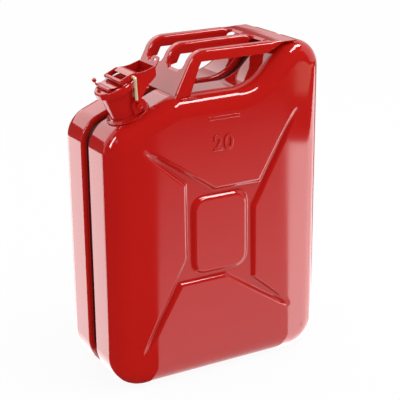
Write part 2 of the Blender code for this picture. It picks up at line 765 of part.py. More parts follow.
def lever_knuckle(pivot):
    """Cross tube on the strap that carries the lever's pin."""
    outer = LEVER_PIVOT_LIFT - GAP
    bore = LEVER_PIN_RADIUS + GAP
    half = LEVER_HALF - LEVER_SHEET / 2 - 2 * GAP
    u, h = LEVER_PIVOT_U, pivot_h()
    bm = bmesh.new()
    profile = [(bore, -half), (outer, -half), (outer, half), (bore, half)]
    verts = [bm.verts.new((u + r, y, h)) for r, y in profile]
    edges = [bm.edges.new((verts[i], verts[(i + 1) % 4])) for i in range(4)]
    bmesh.ops.spin(bm, geom=verts + edges, cent=(u, 0, h), axis=(0, 1, 0), dvec=(0, 0, 0),
                   angle=2 * math.pi, steps=20, use_merge=True)
    return hang(link("lever_knuckle", bm, enamel()), pivot)


def lever_pin(pivot):
    face = LEVER_HALF + LEVER_SHEET / 2 + GAP
    head = face + 1.4 * MM
    big = LEVER_PIN_RADIUS * 2
    stations = [(-head, big * 0.7), (-head + 0.5 * MM, big), (-face, big), (-face, LEVER_PIN_RADIUS),
                (face, LEVER_PIN_RADIUS), (face, big), (head - 0.5 * MM, big), (head, big * 0.7)]
    return hang(stepped_rod("lever_pin", enamel(), LEVER_PIVOT_U, pivot_h(), stations, 16), pivot)


def wall_clear():
    """Lowest middle line of the lever's sheet over the cap."""
    return cap_top() + 2 * GAP + LEVER_SHEET / 2


def end_wall():
    """Foot and crown of the lever's end wall in (u, h)."""
    pu, ph = LEVER_PIVOT_U, pivot_h()
    return Vector((pu + LEVER_LENGTH - 4.2 * MM, ph - 15.6 * MM)), Vector((pu + LEVER_LENGTH, ph - 3.9 * MM))


def lever_sheet(bm):
    """Middle surface of the lever: two side walls with hooked legs, an end wall and a short floor at the end."""
    pu, ph = LEVER_PIVOT_U, pivot_h()
    clear = wall_clear()
    foot, crown = end_wall()
    nose = arc((pu, ph), ph - clear, math.radians(90), math.radians(270), 6)
    rim = CAP_RADIUS - 5.7 * MM
    wall = nose + [(rim - 8.6 * MM, clear), (rim - 4.9 * MM, clear - 0.9 * MM), (rim - 1.6 * MM, clear - 4.5 * MM),
                   (pu + 33 * MM, ph - 21.4 * MM), (pu + 40.5 * MM, ph - 18.3 * MM), tuple(foot), tuple(crown),
                   (pu + 36 * MM, ph - 2.6 * MM), (pu + 27 * MM, ph - 0.4 * MM), (pu + 16 * MM, ph + 4.1 * MM)]
    hook_y = LUG_HALF + 2 * GAP + LEVER_SHEET / 2
    inner = LUG_PIN_RADIUS + HOOK_GAP
    outer = inner + HOOK_WIDTH
    hook_in = arc((LUG_U, LUG_H), inner, HOOK_TO, HOOK_FROM, 6)
    hook_out = arc((LUG_U, LUG_H), outer, HOOK_TO, math.radians(50), 5)
    sides = []
    for sign in (-1, 1):
        y = sign * LEVER_HALF
        verts = [bm.verts.new((u, y, h)) for u, h in wall]
        bm.faces.new(verts)
        mid_y = sign * (LEVER_HALF + hook_y) / 2
        mid_a = bm.verts.new((pu + 16.5 * MM, mid_y, ph - 16.2 * MM))
        mid_b = bm.verts.new((pu + 24 * MM, mid_y, ph - 25.2 * MM))
        far_y = sign * hook_y
        inward = [bm.verts.new((u, far_y, h)) for u, h in hook_in]
        outward = [bm.verts.new((u, far_y, h)) for u, h in hook_out]
        low_a = bm.verts.new((LUG_U - 3.5 * MM, far_y, LUG_H + 10.5 * MM))
        low_b = outward[-1]
        bm.faces.new((verts[9], verts[10], mid_b, mid_a))
        bm.faces.new((mid_a, mid_b, low_b, low_a))
        bm.faces.new([low_a] + list(reversed(outward)) + inward)
        sides.append(verts)
    near, far = sides
    bm.faces.new((near[12], near[13], far[13], far[12]))
    bm.faces.new((near[11], near[12], far[12], far[11]))


def lever(pivot):
    bm = bmesh.new()
    lever_sheet(bm)
    bmesh.ops.recalc_face_normals(bm, faces=bm.faces)
    mesh = bpy.data.meshes.new("lever")
    bm.to_mesh(mesh)
    bm.free()
    mesh.materials.append(enamel())
    thing = bpy.data.objects.new("lever", mesh)
    bpy.context.scene.collection.objects.link(thing)
    thicken(thing, LEVER_SHEET, 0)
    tool = bmesh.new()
    rod(tool, LOCK_U, lock_h(), LOCK_HOLE, -LEVER_HALF - 4 * MM, LEVER_HALF + 4 * MM, 14)
    cut(thing, hang(cutter("lock_hole_tool", tool), pivot))
    bore = bmesh.new()
    rod(bore, LEVER_PIVOT_U, pivot_h(), LEVER_PIN_RADIUS + GAP, -LEVER_HALF - 4 * MM, LEVER_HALF + 4 * MM, 16)
    cut(thing, hang(cutter("pivot_hole_tool", bore), pivot))
    return hang(thing, pivot)


def sheet_piece(name, rows, thickness, pivot):
    """A bent strip of sheet from its middle line: points of (u, h) with the half width at each."""
    bm = bmesh.new()
    lines = [[bm.verts.new((u, -half, h)), bm.verts.new((u, half, h))] for u, h, half in rows]
    for a, b in zip(lines, lines[1:]):
        bm.faces.new((a[0], a[1], b[1], b[0]))
    bmesh.ops.recalc_face_normals(bm, faces=bm.faces)
    mesh = bpy.data.meshes.new(name)
    bm.to_mesh(mesh)
    bm.free()
    mesh.materials.append(enamel())
    thing = bpy.data.objects.new(name, mesh)
    bpy.context.scene.collection.objects.link(thing)
    thicken(thing, thickness, 0)
    return hang(thing, pivot)


def lever_tab(pivot):
    """Thumb tab on the outside of the end wall: down the wall, round a bend and out, with its oval window."""
    foot, crown = end_wall()
    lean = (crown - foot).normalized()
    out = Vector((lean.y, -lean.x))
    off = LEVER_SHEET + GAP
    upper = crown - lean * 2.5 * MM + out * off
    lower = foot + lean * 4.5 * MM + out * off
    centre = lower + out * TAB_BEND
    side = math.atan2(-out.y, -out.x)
    slope = math.radians(37)
    bend = arc(tuple(centre), TAB_BEND, side, slope - math.pi / 2 + 2 * math.pi, 6)
    rise = Vector((math.cos(slope), math.sin(slope)))
    start = Vector(bend[-1])
    tip = start + rise * TAB_LENGTH
    rows = [(upper.x, upper.y, TAB_HALF)] + [(u, h, TAB_HALF) for u, h in bend]
    for share, half in ((0.45, TAB_HALF), (0.85, TAB_HALF), (0.96, TAB_HALF * 0.8), (1.0, TAB_HALF * 0.6)):
        point = start.lerp(tip, share)
        rows.append((point.x, point.y, half))
    thing = sheet_piece("lever_tab", rows, LEVER_SHEET, pivot)
    window = bmesh.new()
    middle = start.lerp(tip, 0.68)
    place = (Matrix.Translation((middle.x, 0, middle.y)) @ Matrix.Rotation(-slope, 4, "Y")
             @ Matrix.Diagonal((0.6, 1, 1, 1)))
    bmesh.ops.create_cone(window, cap_ends=True, segments=16, radius1=TAB_WINDOW, radius2=TAB_WINDOW,
                          depth=TAB_WINDOW * 1.6, matrix=place)
    cut(thing, hang(cutter("tab_window_tool", window), pivot))
    return thing


def lever_bridge(pivot):
    """Plate between the lever's walls, over the locking pin, with a flange down each wall behind the pin."""
    half = LEVER_HALF - LEVER_SHEET / 2 - GAP - BRIDGE_SHEET / 2
    top = lock_h() + WIRE_RADIUS + 2 * GAP + BRIDGE_SHEET
    drop = BRIDGE_FLANGE
    rows = [(LOCK_U - 5 * MM, top - 0.1 * MM, 0), (LOCK_U + 2.9 * MM, top, drop), (LOCK_U + 6.4 * MM, top - 0.9 * MM, drop),
            (LOCK_U + 10 * MM, top - 3.2 * MM, drop)]
    bm = bmesh.new()
    tops = [(bm.verts.new((u, -half, h)), bm.verts.new((u, half, h))) for u, h, deep in rows]
    lows = [(bm.verts.new((u, -half, h - deep)), bm.verts.new((u, half, h - deep))) if deep else None
            for u, h, deep in rows]
    for i in range(len(rows) - 1):
        bm.faces.new((tops[i][0], tops[i][1], tops[i + 1][1], tops[i + 1][0]))
        if lows[i]:
            bm.faces.new((lows[i][0], tops[i][0], tops[i + 1][0], lows[i + 1][0]))
            bm.faces.new((tops[i][1], lows[i][1], lows[i + 1][1], tops[i + 1][1]))
    bmesh.ops.recalc_face_normals(bm, faces=bm.faces)
    mesh = bpy.data.meshes.new("lever_bridge")
    bm.to_mesh(mesh)
    bm.free()
    mesh.materials.append(enamel())
    thing = bpy.data.objects.new("lever_bridge", mesh)
    bpy.context.scene.collection.objects.link(thing)
    thicken(thing, BRIDGE_SHEET, 0)
    return hang(thing, pivot)


def lock_h():
    return wall_clear() + LOCK_RIM + LOCK_HOLE


def locking_pin(pivot):
    """Wire pin through both walls, its free arm hanging at the near side."""
    down = Vector((-math.sin(SHOULDER_ANGLE), 0, -math.cos(SHOULDER_ANGLE)))
    wall = LEVER_HALF + LEVER_SHEET / 2
    knee = Vector((LOCK_U, -wall - LOCK_OUT, lock_h()))
    lower = knee + down * LOCK_ARM + Vector((0, -LOCK_LEAN, 0))
    corners = [(LOCK_U, wall + LOCK_PAST, lock_h()), tuple(knee), tuple(lower)]
    route = bent(corners, LOCK_BEND, 5)
    made = material("zinc", ZINC, 0.3, 0.9)
    return hang(pipe("locking_pin", route, WIRE_RADIUS, None, made, 10), pivot)


def latch_lug(frame, side):
    """Lug on one side of the neck with the pin that the lever's hook holds."""
    name = "latch_lug_near" if side < 0 else "latch_lug_far"
    bm = bmesh.new()
    low = 5.6 * MM
    u, h = LUG_U, LUG_H
    flat = u - LUG_RADIUS
    outline = [(flat, low)] + [(u + LUG_RADIUS, low)]
    outline += arc((u, h), LUG_RADIUS, 0, math.pi, 10)
    prism(bm, outline, side * 12 * MM, side * LUG_HALF)
    return hang(link(name, bm, enamel()), frame)


def latch_pin(frame, side):
    """Headed pin riveted in the lug."""
    name = "latch_pin_near" if side < 0 else "latch_pin_far"
    hook = LUG_HALF + 2 * GAP + LEVER_SHEET
    start = LUG_HALF + GAP
    head = hook + 1.5 * GAP
    big = LUG_PIN_RADIUS + 1.4 * MM
    stations = [(start, LUG_PIN_RADIUS), (head, LUG_PIN_RADIUS), (head, big), (head + 1.0 * MM, big),
                (head + 1.6 * MM, big * 0.7)]
    stations = [(side * y, r) for y, r in stations]
    return hang(stepped_rod(name, enamel(), LUG_U, LUG_H, stations, 18), frame)


def hinge_bracket(frame):
    """Two cheeks and a saddle on the handle side of the neck, round the cap's hinge."""
    cheek = KNUCKLE_HALF + GAP
    outer = cheek + BRACKET_SHEET
    eye = KNUCKLE_RADIUS + 0.5 * MM
    low, high = HINGE_H - 15 * MM, HINGE_H - 4 * MM
    wall = NECK_RADIUS - 6 * MM
    rim = arc((HINGE_U, HINGE_H), eye, math.radians(-40), math.radians(150), 7)
    outline = [(wall, low), (NECK_RADIUS + 3 * MM, low)] + rim + [(NECK_RADIUS + 3.2 * MM, high), (wall, high)]
    saddle = [(wall, low), (NECK_RADIUS + 2.4 * MM, low), (NECK_RADIUS + 2.4 * MM, high), (wall, high)]
    bm = bmesh.new()
    prism(bm, saddle, -outer, outer)
    body = link("cap_hinge_bracket", bm, enamel())
    for side in (-1, 1):
        wing = bmesh.new()
        prism(wing, outline, side * cheek, side * outer)
        piece = cutter("cheek_tool_near" if side < 0 else "cheek_tool_far", wing)
        change = body.modifiers.new("cheek", "BOOLEAN")
        change.object = hang(piece, frame)
        change.operation = "UNION"
        change.solver = "EXACT"
    hang(body, frame)
    hole = bmesh.new()
    rod(hole, HINGE_U, HINGE_H, HINGE_PIN_RADIUS + GAP, -outer - 2 * MM, outer + 2 * MM, 16)
    cut(body, hang(cutter("hinge_hole_tool", hole), frame))
    return body


def hinge_pin(frame):
    end = KNUCKLE_HALF + GAP + BRACKET_SHEET + GAP
    big = HINGE_PIN_RADIUS * 1.8
    stations = [(-end - 1.2 * MM, big), (-end, big), (-end, HINGE_PIN_RADIUS), (end, HINGE_PIN_RADIUS),
                (end, big), (end + 1.2 * MM, big)]
    return hang(stepped_rod("cap_hinge_pin", enamel(), HINGE_U, HINGE_H, stations, 16), frame)


# Breather inside the can

def breather(frame):
    """Air tube from the mouth of the neck to the hump, and the clip that holds it under the floor."""
    tilt = frame.matrix_basis
    inside = NECK_RADIUS - NECK_WALL - GAP - BREATHER_RADIUS
    mouth = tilt @ Vector((inside, 0, NECK_LENGTH - 6 * MM))
    throat = tilt @ Vector((inside, 0, -26 * MM))
    under = FLOOR_HEIGHT - SHEET - GAP - BREATHER_RADIUS - 10 * MM
    run = Vector((throat.x + 40 * MM, NECK_Y, under))
    turn = Vector((RECESS_RIGHT_X + 6 * MM, NECK_Y, under))
    high = Vector((HUMP_LEFT_X + 6 * MM, NECK_Y, BODY_HEIGHT - 16 * MM))
    corners = [tuple(mouth), tuple(throat), tuple(run), tuple(turn), tuple(high)]
    made = material("bare_steel", STEEL, 0.35, 0.9)
    pipe("breather_tube", bent(corners, 18 * MM, 5), BREATHER_RADIUS, BREATHER_BORE, made, 12)
    bm = bmesh.new()
    gap = BREATHER_RADIUS + GAP
    top = FLOOR_HEIGHT - SHEET - GAP
    wing = 9 * MM
    sheet = 1.2 * MM
    section = [(wing + gap, top), (-wing - gap, top), (-wing - gap, top - sheet), (-gap - sheet, top - sheet)]
    section += [(-gap - sheet, under)]
    section += arc((0, under), gap + sheet, math.pi, 2 * math.pi, 8)[1:]
    section += [(gap + sheet, top - sheet), (wing + gap, top - sheet)]
    inner = [(gap, top - sheet)] + list(reversed(arc((0, under), gap, math.pi, 2 * math.pi, 8))) + [(-gap, top - sheet)]
    outline = section
    clip_x = (SHOULDER_TOP_X + RECESS_RIGHT_X - CLIP_LENGTH) / 2
    verts = [bm.verts.new((clip_x, NECK_Y + y, z)) for y, z in outline]
    hole = [bm.verts.new((clip_x, NECK_Y + y, z)) for y, z in inner]
    edges = [bm.edges.new((v, verts[(i + 1) % len(verts)])) for i, v in enumerate(verts)]
    edges += [bm.edges.new((v, hole[(i + 1) % len(hole)])) for i, v in enumerate(hole)]
    bmesh.ops.triangle_fill(bm, use_beauty=True, use_dissolve=False, edges=edges, normal=(1, 0, 0))
    grown = bmesh.ops.extrude_face_region(bm, geom=bm.faces[:])
    bmesh.ops.translate(bm, verts=[v for v in grown["geom"] if isinstance(v, bmesh.types.BMVert)],
                        vec=(CLIP_LENGTH, 0, 0))
    link("breather_clip", bm, made, smooth=False)


pivot_place = {}


def build():
    clear_scene()
    front = half_shell("front_shell", False)
    half_shell("rear_shell", True)
    seam_weld()
    handle = triple_handle()

    frame = empty("neck_frame", (NECK_X, NECK_Y, shoulder_z(NECK_X)), tilt=-SHOULDER_ANGLE)
    pivot_place["cap_axis"] = Vector((HINGE_U, 0, HINGE_H))
    pivot_place["lever_axis"] = Vector((LEVER_PIVOT_U, 0, pivot_h()))
    cap_axis = empty("cap_axis", pivot_place["cap_axis"], frame)
    lever_axis = empty("lever_axis", pivot_place["lever_axis"] - pivot_place["cap_axis"], cap_axis)

    cut(front, neck_cutter("neck_hole_tool", frame, NECK_RADIUS + GAP, -NECK_LENGTH * 0.7, NECK_LENGTH * 0.7))
    neck(frame)
    collar = neck_collar(frame)
    shoulder = cutter("shoulder_tool", body_solid(GAP))
    cut(collar, shoulder)
    cut(handle, shoulder)
    saddle = neck_cutter("saddle_tool", frame, NECK_RADIUS + GAP, -20 * MM, 60 * MM)
    for side in (-1, 1):
        cut(latch_lug(frame, side), saddle)
        latch_pin(frame, side)
    cut(hinge_bracket(frame), saddle)
    hinge_pin(frame)

    cap(cap_axis)
    gasket(cap_axis)
    strap(cap_axis)
    strap_pin(cap_axis)
    lever_knuckle(cap_axis)
    lever_pin(cap_axis)

    lever(lever_axis)
    lever_bridge(lever_axis)
    lever_tab(lever_axis)
    locking_pin(lever_axis)
    breather(frame)


build()
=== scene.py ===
"""Looks of the pressed steel fuel can: fine shells, bars, closure, enamel and a plain studio."""
import json
import math
import bmesh
import bpy
from bpy.props import FloatProperty, FloatVectorProperty, PointerProperty, StringProperty
from bpy.types import Operator, Panel, PropertyGroup
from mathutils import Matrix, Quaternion, Vector


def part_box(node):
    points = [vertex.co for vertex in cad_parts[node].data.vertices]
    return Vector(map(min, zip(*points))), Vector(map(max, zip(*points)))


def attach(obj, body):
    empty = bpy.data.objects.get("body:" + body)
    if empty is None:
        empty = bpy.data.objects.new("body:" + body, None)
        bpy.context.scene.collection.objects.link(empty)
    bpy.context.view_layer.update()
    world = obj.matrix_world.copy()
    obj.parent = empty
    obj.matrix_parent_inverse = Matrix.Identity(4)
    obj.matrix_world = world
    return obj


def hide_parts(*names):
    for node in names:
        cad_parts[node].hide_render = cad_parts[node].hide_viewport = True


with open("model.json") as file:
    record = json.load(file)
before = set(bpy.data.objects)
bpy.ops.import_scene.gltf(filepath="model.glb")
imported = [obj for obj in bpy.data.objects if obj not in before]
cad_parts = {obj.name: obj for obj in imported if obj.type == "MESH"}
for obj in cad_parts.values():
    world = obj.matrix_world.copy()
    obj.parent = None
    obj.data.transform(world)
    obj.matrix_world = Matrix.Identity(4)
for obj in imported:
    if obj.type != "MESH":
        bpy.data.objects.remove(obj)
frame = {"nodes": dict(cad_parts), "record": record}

bl_info = {
    "name": "Fuel Can Looks",
    "version": (1, 0, 0),
    "blender": (4, 5, 0),
    "location": "3D View > Sidebar > Fuel Can",
    "description": "Dresses a pressed steel fuel can with fine pressings, glossy enamel and a studio",
    "category": "Object",
}

SHELL_LOW, SHELL_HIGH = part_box("front_shell")
CLOSE = 0.0002

# Corners of the can's outline, its seam groove and the area of the pressed cross
RECESS_FLOOR = 0.412
SHOULDER_X = -0.066
RISE_X = 0.054
HUMP_X = 0.112
GROOVE_CHAMFER = 0.0012
GROOVE_LIP = 0.0046
SEAM_GAP = 0.00015
CROSS_LOW = Vector((-0.139, 0.038))
CROSS_HIGH = Vector((0.139, 0.388))
CROSS_CELL = 0.0015

# The neck leans away from the handle and stands off the middle plane
NECK_TILT = math.radians(22.5)
NECK_X, NECK_Y = -0.1185, -0.035
NECK_FOOT = Vector((NECK_X, NECK_Y, RECESS_FLOOR - (SHOULDER_X - NECK_X) * math.tan(NECK_TILT)))
NECK_AXIS = Vector((-math.sin(NECK_TILT), 0, math.cos(NECK_TILT)))
NECK_HOLE = 0.0243

FINISHES = {}
BODIES = {node: body for body, nodes in frame["record"]["behaviour"]["bodies"].items() for node in nodes}


class CanSizes(PropertyGroup):
    """Sizes of the can's pressings."""
    width: FloatProperty(name="Width", description="Along the can", default=SHELL_HIGH.x - SHELL_LOW.x,
                         unit="LENGTH")
    depth: FloatProperty(name="Depth", description="Across both pressings", default=-2 * SHELL_LOW.y,
                         unit="LENGTH")
    hump: FloatProperty(name="Hump height", description="Top of the hump", default=SHELL_HIGH.z,
                        unit="LENGTH")
    recess: FloatProperty(name="Recess height", description="Floor of the hand recess",
                          default=RECESS_FLOOR, unit="LENGTH")
    edge: FloatProperty(name="Edge radius", description="Rounding from the sides to the big faces",
                        default=0.0255, unit="LENGTH")
    groove: FloatProperty(name="Groove depth", description="Depth of the seam groove", default=0.008,
                          unit="LENGTH")
    groove_half: FloatProperty(name="Groove half width", description="From the seam to the groove's wall",
                               default=0.0085, unit="LENGTH")
    sheet: FloatProperty(name="Sheet", description="Thickness of the steel", default=0.001, unit="LENGTH")
    cross: FloatProperty(name="Cross depth", description="Depth of the pressed cross", default=0.0049,
                         unit="LENGTH")


class CanColours(PropertyGroup):
    """Colours of the finishes."""
    enamel: FloatVectorProperty(name="Enamel", description="Red of the enamel", default=(0.50, 0.010, 0.006),
                                subtype="COLOR", size=3, min=0, max=1)
    enamel_deep: FloatVectorProperty(name="Deep enamel", description="Where the enamel lies thicker",
                                     default=(0.45, 0.006, 0.005), subtype="COLOR", size=3, min=0, max=1)
    zinc: FloatVectorProperty(name="Zinc", description="Plating of the locking pin",
                              default=(0.90, 0.78, 0.52), subtype="COLOR", size=3, min=0, max=1)


# Working by hand in edit mode

def only(*things):
    """Select these objects and nothing else; the last is active."""
    if bpy.context.mode != "OBJECT":
        bpy.ops.object.mode_set(mode="OBJECT")
    bpy.ops.object.select_all(action="DESELECT")
    for thing in things:
        thing.select_set(True)
    bpy.context.view_layer.objects.active = things[-1]


def started(name):
    """The primitive just added, named and with its place in its mesh."""
    piece = bpy.context.active_object
    piece.name = name
    piece.data.name = name
    bpy.ops.object.transform_apply(location=True, rotation=True, scale=True)
    return piece


def pick(piece, kind, test):
    """In edit mode, select only the elements that pass the test."""
    bpy.ops.mesh.select_mode(type=kind)
    bpy.ops.mesh.select_all(action="DESELECT")
    form = bmesh.from_edit_mesh(piece.data)
    form.normal_update()
    items = {"VERT": form.verts, "EDGE": form.edges, "FACE": form.faces}[kind]
    count = 0
    for item in items:
        if test(item):
            item.select_set(True)
            count += 1
    form.select_flush_mode()
    bmesh.update_edit_mesh(piece.data)
    return count


def middle(edge):
    """The point halfway along an edge."""
    return (edge.verts[0].co + edge.verts[1].co) / 2


def near(value, goal, reach=CLOSE):
    """Whether a value lies within reach of its goal."""
    return abs(value - goal) < reach


def apply_modifier(piece, kind, **settings):
    """Add a modifier with its settings and apply it."""
    only(piece)
    change = piece.modifiers.new(kind.lower(), kind)
    for key, value in settings.items():
        setattr(change, key, value)
    bpy.ops.object.modifier_apply(modifier=change.name)


def finish_piece(piece, finish, body, angle=35, shade=None):
    """Shade, weight the normals, give the finish and put the piece on its body.

    A shade names a near-black material of painted shade, shown on the piece in place of its finish.
    """
    only(piece)
    bpy.ops.object.shade_smooth_by_angle(angle=math.radians(angle))
    apply_modifier(piece, "WEIGHTED_NORMAL", mode="FACE_AREA", weight=50, keep_sharp=True)
    piece.data.materials.clear()
    piece.data.materials.append(FINISHES[shade or finish])
    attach(piece, body)
    return piece


# Finishes

def add(tree, kind, place, **values):
    """A new node, with its settings or its inputs' values."""
    node = tree.nodes.new(kind)
    node.location = place
    for key, value in values.items():
        if hasattr(node, key):
            setattr(node, key, value)
        else:
            node.inputs[key.replace("_", " ")].default_value = value
    return node


def coat_play_group():
    """Slow colour drift and orange peel of a sprayed coat, over a faint longer wave."""
    group = bpy.data.node_groups.new("Sprayed Coat", "ShaderNodeTree")
    face = group.interface
    for name, way, kind in (("Coordinates", "INPUT", "Vector"), ("Thin Colour", "INPUT", "Color"),
                            ("Thick Colour", "INPUT", "Color"), ("Drift Scale", "INPUT", "Float"),
                            ("Peel Scale", "INPUT", "Float"), ("Smooth", "INPUT", "Float"),
                            ("Dull", "INPUT", "Float"), ("Colour", "OUTPUT", "Color"),
                            ("Roughness", "OUTPUT", "Float"), ("Height", "OUTPUT", "Float")):
        face.new_socket(name, in_out=way, socket_type="NodeSocket" + kind)
    source = add(group, "NodeGroupInput", (-700, 0))
    goal = add(group, "NodeGroupOutput", (500, 0))
    drift = add(group, "ShaderNodeTexNoise", (-450, 200), Detail=3.0)
    peel = add(group, "ShaderNodeTexNoise", (-450, -200), Detail=2.0)
    wave = add(group, "ShaderNodeTexNoise", (-450, -450), Scale=28.0, Detail=1.0)
    mix = add(group, "ShaderNodeMix", (-150, 250), data_type="RGBA")
    gloss = add(group, "ShaderNodeMapRange", (-150, 0))
    total = add(group, "ShaderNodeMath", (-150, -300), operation="MULTIPLY_ADD")
    peel_share = 0.16
    total.inputs[1].default_value = peel_share
    link = group.links.new
    for texture in (drift, peel, wave):
        link(source.outputs["Coordinates"], texture.inputs["Vector"])
    link(source.outputs["Drift Scale"], drift.inputs["Scale"])
    link(source.outputs["Peel Scale"], peel.inputs["Scale"])
    link(drift.outputs["Fac"], mix.inputs["Factor"])
    link(source.outputs["Thin Colour"], mix.inputs["A"])
    link(source.outputs["Thick Colour"], mix.inputs["B"])
    link(drift.outputs["Fac"], gloss.inputs["Value"])
    link(source.outputs["Smooth"], gloss.inputs["To Min"])
    link(source.outputs["Dull"], gloss.inputs["To Max"])
    link(peel.outputs["Fac"], total.inputs[0])
    link(wave.outputs["Fac"], total.inputs[2])
    link(mix.outputs["Result"], goal.inputs["Colour"])
    link(gloss.outputs["Result"], goal.inputs["Roughness"])
    link(total.outputs["Value"], goal.inputs["Height"])
    return group


def new_finish(name):
    """A material with its node tree and its shader."""
    made = bpy.data.materials.new(name)
    made.use_nodes = True
    tree = made.node_tree
    return made, tree, tree.nodes["Principled BSDF"]


def coated(name, thin, thick, drift, peel, gloss, bump, metallic=0.0):
    """A finish that uses the sprayed coat group.

    Drift and peel are the scales of the two patterns, gloss the lowest and highest roughness, and
    bump the strength and height of the relief.
    """
    made, tree, shader = new_finish(name)
    FINISHES[name] = made
    place = add(tree, "ShaderNodeTexCoord", (-900, 0))
    play = add(tree, "ShaderNodeGroup", (-600, 0))
    play.node_tree = bpy.data.node_groups["Sprayed Coat"]
    play.inputs["Thin Colour"].default_value = (*thin, 1)
    play.inputs["Thick Colour"].default_value = (*thick, 1)
    play.inputs["Drift Scale"].default_value = drift
    play.inputs["Peel Scale"].default_value = peel
    play.inputs["Smooth"].default_value = gloss[0]
    play.inputs["Dull"].default_value = gloss[1]
    relief = add(tree, "ShaderNodeBump", (-300, -250))
    relief.inputs["Strength"].default_value = bump[0]
    relief.inputs["Distance"].default_value = bump[1]
    tree.links.new(place.outputs["Object"], play.inputs["Coordinates"])
    tree.links.new(play.outputs["Colour"], shader.inputs["Base Color"])
    tree.links.new(play.outputs["Roughness"], shader.inputs["Roughness"])
    tree.links.new(play.outputs["Height"], relief.inputs["Height"])
    tree.links.new(relief.outputs["Normal"], shader.inputs["Normal"])
    shader.inputs["Metallic"].default_value = metallic
    return shader


class FUELCAN_OT_finishes(Operator):
    """Make the enamel, plating, steel and rubber"""
    bl_idname = "fuelcan.finishes"
    bl_label = "Make finishes"

    def execute(self, context):
        colours = context.scene.can_colours
        coat_play_group()
        coated("red_enamel", colours.enamel, colours.enamel_deep, 9.0, 420.0, (0.05, 0.08), (0.03, 0.0004))
        # Near-black red for the bottom of the seam groove and its weld: painted shade where the groove falls
        # dark, with its gloss turned down so it stays dark
        groove = coated("seam_painted_shade", (0.11, 0.002, 0.001), (0.06, 0.001, 0.001), 40.0, 420.0, (0.3, 0.5),
                        (0.1, 0.0004))
        groove.inputs["Specular IOR Level"].default_value = 0.12
        coated("zinc", colours.zinc, (0.78, 0.60, 0.34), 60.0, 900.0, (0.20, 0.34), (0.10, 0.0002), 0.45)
        coated("bare_steel", (0.50, 0.50, 0.49), (0.36, 0.35, 0.34), 40.0, 700.0, (0.30, 0.45),
               (0.12, 0.0002), 0.9)
        coated("rubber", (0.016, 0.016, 0.017), (0.026, 0.025, 0.025), 80.0, 1200.0, (0.55, 0.75),
               (0.20, 0.0002))
        return {"FINISHED"}


# Shells

def turn_reach(radius, turn):
    """How far from a corner a rounding of that radius begins, for a corner that turns by that angle."""
    return radius * math.tan(turn / 2)


def round_corner(piece, x, z, radius, turn, steps):
    """Round one corner edge that runs along Y."""
    found = pick(piece, "EDGE", lambda e: near(e.verts[0].co.x, x) and near(e.verts[1].co.x, x)
                 and near(e.verts[0].co.z, z) and near(e.verts[1].co.z, z))
    if found != 1:
        raise RuntimeError("corner at %.4f %.4f has %d edges" % (x, z, found))
    bpy.ops.mesh.bevel(offset_type="OFFSET", offset=turn_reach(radius, turn), segments=steps, profile=0.5,
                       affect="EDGES", clamp_overlap=False)


